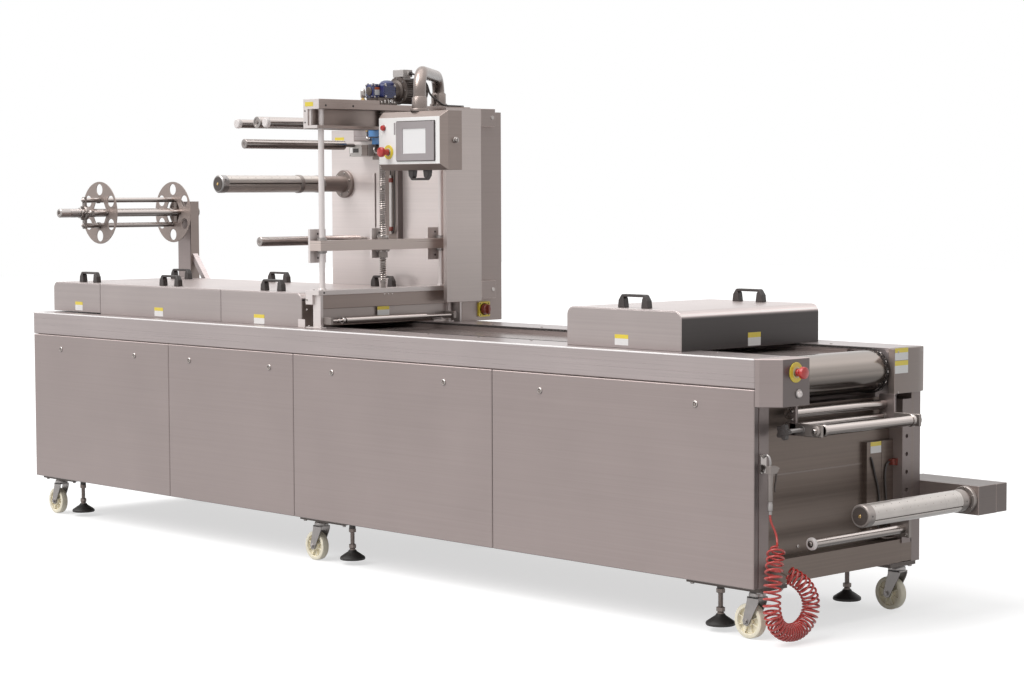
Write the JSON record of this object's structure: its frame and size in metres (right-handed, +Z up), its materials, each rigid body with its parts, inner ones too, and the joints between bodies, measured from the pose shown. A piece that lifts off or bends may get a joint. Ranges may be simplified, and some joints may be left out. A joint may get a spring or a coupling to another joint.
{
  "type": "thermoforming packaging machine",
  "caption": "Long stainless thermoforming packaging machine with forming hood, sealing portal, film rollers, scrap rewinder, swinging operator panel, castors and levelling feet.",
  "frame": {"origin": "middle of the machine's footprint, on the floor", "axes": "+X along the machine to the end where the bottom film enters, +Y to the rear with the cabinet, +Z up"},
  "size_m": [4.968, 1.1583, 2.0833],
  "materials": {
    "brushed_stainless": "brushed stainless sheet, satin",
    "dark_stainless": "brushed stainless sheet, darker grain",
    "chrome": "bright plated",
    "zinc_plate": "zinc plated pressings",
    "ivory_nylon": "moulded nylon",
    "black_rubber": "black rubber and plastic",
    "blue_enamel": "dark blue enamel",
    "red_plastic": "red plastic"
  },
  "bodies": {
    "machine_frame": {"machine_body": "brushed_stainless", "front_beam": "brushed_stainless", "rear_beam": "brushed_stainless", "front_panel_1": "brushed_stainless", "front_panel_2": "brushed_stainless", "front_panel_3": "brushed_stainless", "front_panel_4": "brushed_stainless", "end_plate": "dark_stainless", "near_corner_block": "brushed_stainless", "far_corner_block": "brushed_stainless", "film_track": "brushed_stainless", "clip_chain_front": "black_rubber", "clip_chain_rear": "black_rubber", "forming_hood": "brushed_stainless", "discharge_cover_1": "brushed_stainless", "discharge_cover_2": "brushed_stainless", "discharge_cover_3": "brushed_stainless", "sealing_station": "brushed_stainless", "gantry_frame": "brushed_stainless", "gear_motor": "blue_enamel", "rear_wall_plate": "brushed_stainless", "rear_cabinet": "brushed_stainless", "unwinder_arm": "brushed_stainless", "blow_gun": "chrome", "hose_lead": "red_plastic", "hose_coil": "red_plastic", "levelling_foot_1": "black_rubber", "levelling_foot_2": "black_rubber", "levelling_foot_3": "black_rubber", "levelling_foot_4": "black_rubber", "levelling_foot_5": "black_rubber", "levelling_foot_6": "black_rubber"},
    "castor_1_fork_body": {"castor_fork_1": "zinc_plate"},
    "castor_1_wheel_body": {"castor_wheel_1": "ivory_nylon"},
    "castor_2_fork_body": {"castor_fork_2": "zinc_plate"},
    "castor_2_wheel_body": {"castor_wheel_2": "ivory_nylon"},
    "castor_3_fork_body": {"castor_fork_3": "zinc_plate"},
    "castor_3_wheel_body": {"castor_wheel_3": "ivory_nylon"},
    "castor_4_fork_body": {"castor_fork_4": "zinc_plate"},
    "castor_4_wheel_body": {"castor_wheel_4": "ivory_nylon"},
    "castor_5_fork_body": {"castor_fork_5": "zinc_plate"},
    "castor_5_wheel_body": {"castor_wheel_5": "ivory_nylon"},
    "castor_6_fork_body": {"castor_fork_6": "zinc_plate"},
    "castor_6_wheel_body": {"castor_wheel_6": "ivory_nylon"},
    "scrap_reel_body": {"scrap_reel": "brushed_stainless"},
    "top_film_shaft_body": {"top_film_shaft": "brushed_stainless"},
    "bottom_film_shaft_body": {"bottom_film_shaft": "brushed_stainless"},
    "infeed_drum_body": {"infeed_drum": "brushed_stainless"},
    "top_roller_a_body": {"top_roller_a": "brushed_stainless"},
    "top_roller_c_body": {"top_roller_c": "brushed_stainless"},
    "top_roller_d_body": {"top_roller_d": "brushed_stainless"},
    "top_roller_f_body": {"top_roller_f": "brushed_stainless"},
    "guide_roller_body": {"guide_roller": "brushed_stainless"},
    "end_roller_body": {"end_roller": "brushed_stainless"},
    "low_roller_body": {"low_roller": "brushed_stainless"},
    "station_roller_body": {"station_roller": "brushed_stainless"},
    "lift_beam_body": {"lift_beam": "brushed_stainless"},
    "panel_arm_body": {"panel_arm": "brushed_stainless"},
    "operator_panel_body": {"operator_panel": "brushed_stainless"},
    "main_switch_body": {"main_switch_knob": "red_plastic"}
  },
  "joints": [
    {"name": "castor_1_swivel", "type": "hinge", "parent": "machine_frame", "child": "castor_1_fork_body", "pos_m": [2.179, -0.4855, 0.166], "axis": [0, 0, 1], "continuous": true},
    {"name": "castor_1_wheel_spin", "type": "hinge", "parent": "castor_1_fork_body", "child": "castor_1_wheel_body", "pos_m": [2.148, -0.4855, 0.0625], "axis": [0, 1, 0], "continuous": true},
    {"name": "castor_2_swivel", "type": "hinge", "parent": "machine_frame", "child": "castor_2_fork_body", "pos_m": [-0.226, -0.4855, 0.166], "axis": [0, 0, 1], "continuous": true},
    {"name": "castor_2_wheel_spin", "type": "hinge", "parent": "castor_2_fork_body", "child": "castor_2_wheel_body", "pos_m": [-0.257, -0.4855, 0.0625], "axis": [0, 1, 0], "continuous": true},
    {"name": "castor_3_swivel", "type": "hinge", "parent": "machine_frame", "child": "castor_3_fork_body", "pos_m": [-2.239, -0.4855, 0.166], "axis": [0, 0, 1], "continuous": true},
    {"name": "castor_3_wheel_spin", "type": "hinge", "parent": "castor_3_fork_body", "child": "castor_3_wheel_body", "pos_m": [-2.27, -0.4855, 0.0625], "axis": [0, 1, 0], "continuous": true},
    {"name": "castor_4_swivel", "type": "hinge", "parent": "machine_frame", "child": "castor_4_fork_body", "pos_m": [2.179, 0.3085, 0.166], "axis": [0, 0, 1], "continuous": true},
    {"name": "castor_4_wheel_spin", "type": "hinge", "parent": "castor_4_fork_body", "child": "castor_4_wheel_body", "pos_m": [2.148, 0.3085, 0.0625], "axis": [0, 1, 0], "continuous": true},
    {"name": "castor_5_swivel", "type": "hinge", "parent": "machine_frame", "child": "castor_5_fork_body", "pos_m": [-0.226, 0.3085, 0.166], "axis": [0, 0, 1], "continuous": true},
    {"name": "castor_5_wheel_spin", "type": "hinge", "parent": "castor_5_fork_body", "child": "castor_5_wheel_body", "pos_m": [-0.257, 0.3085, 0.0625], "axis": [0, 1, 0], "continuous": true},
    {"name": "castor_6_swivel", "type": "hinge", "parent": "machine_frame", "child": "castor_6_fork_body", "pos_m": [-2.239, 0.3085, 0.166], "axis": [0, 0, 1], "continuous": true},
    {"name": "castor_6_wheel_spin", "type": "hinge", "parent": "castor_6_fork_body", "child": "castor_6_wheel_body", "pos_m": [-2.27, 0.3085, 0.0625], "axis": [0, 1, 0], "continuous": true},
    {"name": "scrap_reel_spin", "type": "hinge", "parent": "machine_frame", "child": "scrap_reel_body", "pos_m": [-2.331, -0.4175, 1.456], "axis": [0, 1, 0], "continuous": true},
    {"name": "top_film_shaft_spin", "type": "hinge", "parent": "machine_frame", "child": "top_film_shaft_body", "pos_m": [-0.987, -0.4455, 1.591], "axis": [0, 1, 0], "continuous": true},
    {"name": "bottom_film_shaft_spin", "type": "hinge", "parent": "machine_frame", "child": "bottom_film_shaft_body", "pos_m": [2.429, -0.2375, 0.43], "axis": [0, 1, 0], "continuous": true},
    {"name": "infeed_drum_spin", "type": "hinge", "parent": "machine_frame", "child": "infeed_drum_body", "pos_m": [2.154, -0.0885, 0.897], "axis": [0, 1, 0], "continuous": true},
    {"name": "top_roller_a_spin", "type": "hinge", "parent": "machine_frame", "child": "top_roller_a_body", "pos_m": [-0.831, -0.4575, 1.853], "axis": [0, 1, 0], "continuous": true},
    {"name": "top_roller_c_spin", "type": "hinge", "parent": "machine_frame", "child": "top_roller_c_body", "pos_m": [-0.628, -0.4575, 1.853], "axis": [0, 1, 0], "continuous": true},
    {"name": "top_roller_d_spin", "type": "hinge", "parent": "machine_frame", "child": "top_roller_d_body", "pos_m": [-0.826, -0.4125, 1.766], "axis": [0, 1, 0], "continuous": true},
    {"name": "top_roller_f_spin", "type": "hinge", "parent": "machine_frame", "child": "top_roller_f_body", "pos_m": [-0.846, -0.3265, 1.335], "axis": [0, 1, 0], "continuous": true},
    {"name": "guide_roller_spin", "type": "hinge", "parent": "machine_frame", "child": "guide_roller_body", "pos_m": [2.344, -0.0885, 0.728], "axis": [0, 1, 0], "continuous": true},
    {"name": "end_roller_spin", "type": "hinge", "parent": "machine_frame", "child": "end_roller_body", "pos_m": [2.206, -0.0885, 0.777], "axis": [0, 1, 0], "continuous": true},
    {"name": "low_roller_spin", "type": "hinge", "parent": "machine_frame", "child": "low_roller_body", "pos_m": [2.279, -0.3125, 0.326], "axis": [0, 1, 0], "continuous": true},
    {"name": "station_roller_spin", "type": "hinge", "parent": "machine_frame", "child": "station_roller_body", "pos_m": [-0.201, -0.0885, 1.012], "axis": [0, 1, 0], "continuous": true},
    {"name": "lift_beam_slide", "type": "slide", "parent": "machine_frame", "child": "lift_beam_body", "axis": [0, 0, 1], "range_m": [-0.1, 0.4]},
    {"name": "panel_arm_swing", "type": "hinge", "parent": "machine_frame", "child": "panel_arm_body", "pos_m": [-0.276, 0.2325, 1.9253], "axis": [0, 0, 1], "range_deg": [0, 90]},
    {"name": "operator_panel_turn", "type": "hinge", "parent": "panel_arm_body", "child": "operator_panel_body", "pos_m": [0.044, -0.1575, 1.888], "axis": [0, 0, 1], "range_deg": [-45, 45]},
    {"name": "main_switch_turn", "type": "hinge", "parent": "machine_frame", "child": "main_switch_body", "pos_m": [-0.1864, 0.4195, 1.031], "axis": [1, 0, 0], "range_deg": [0, 90]}
  ]
}
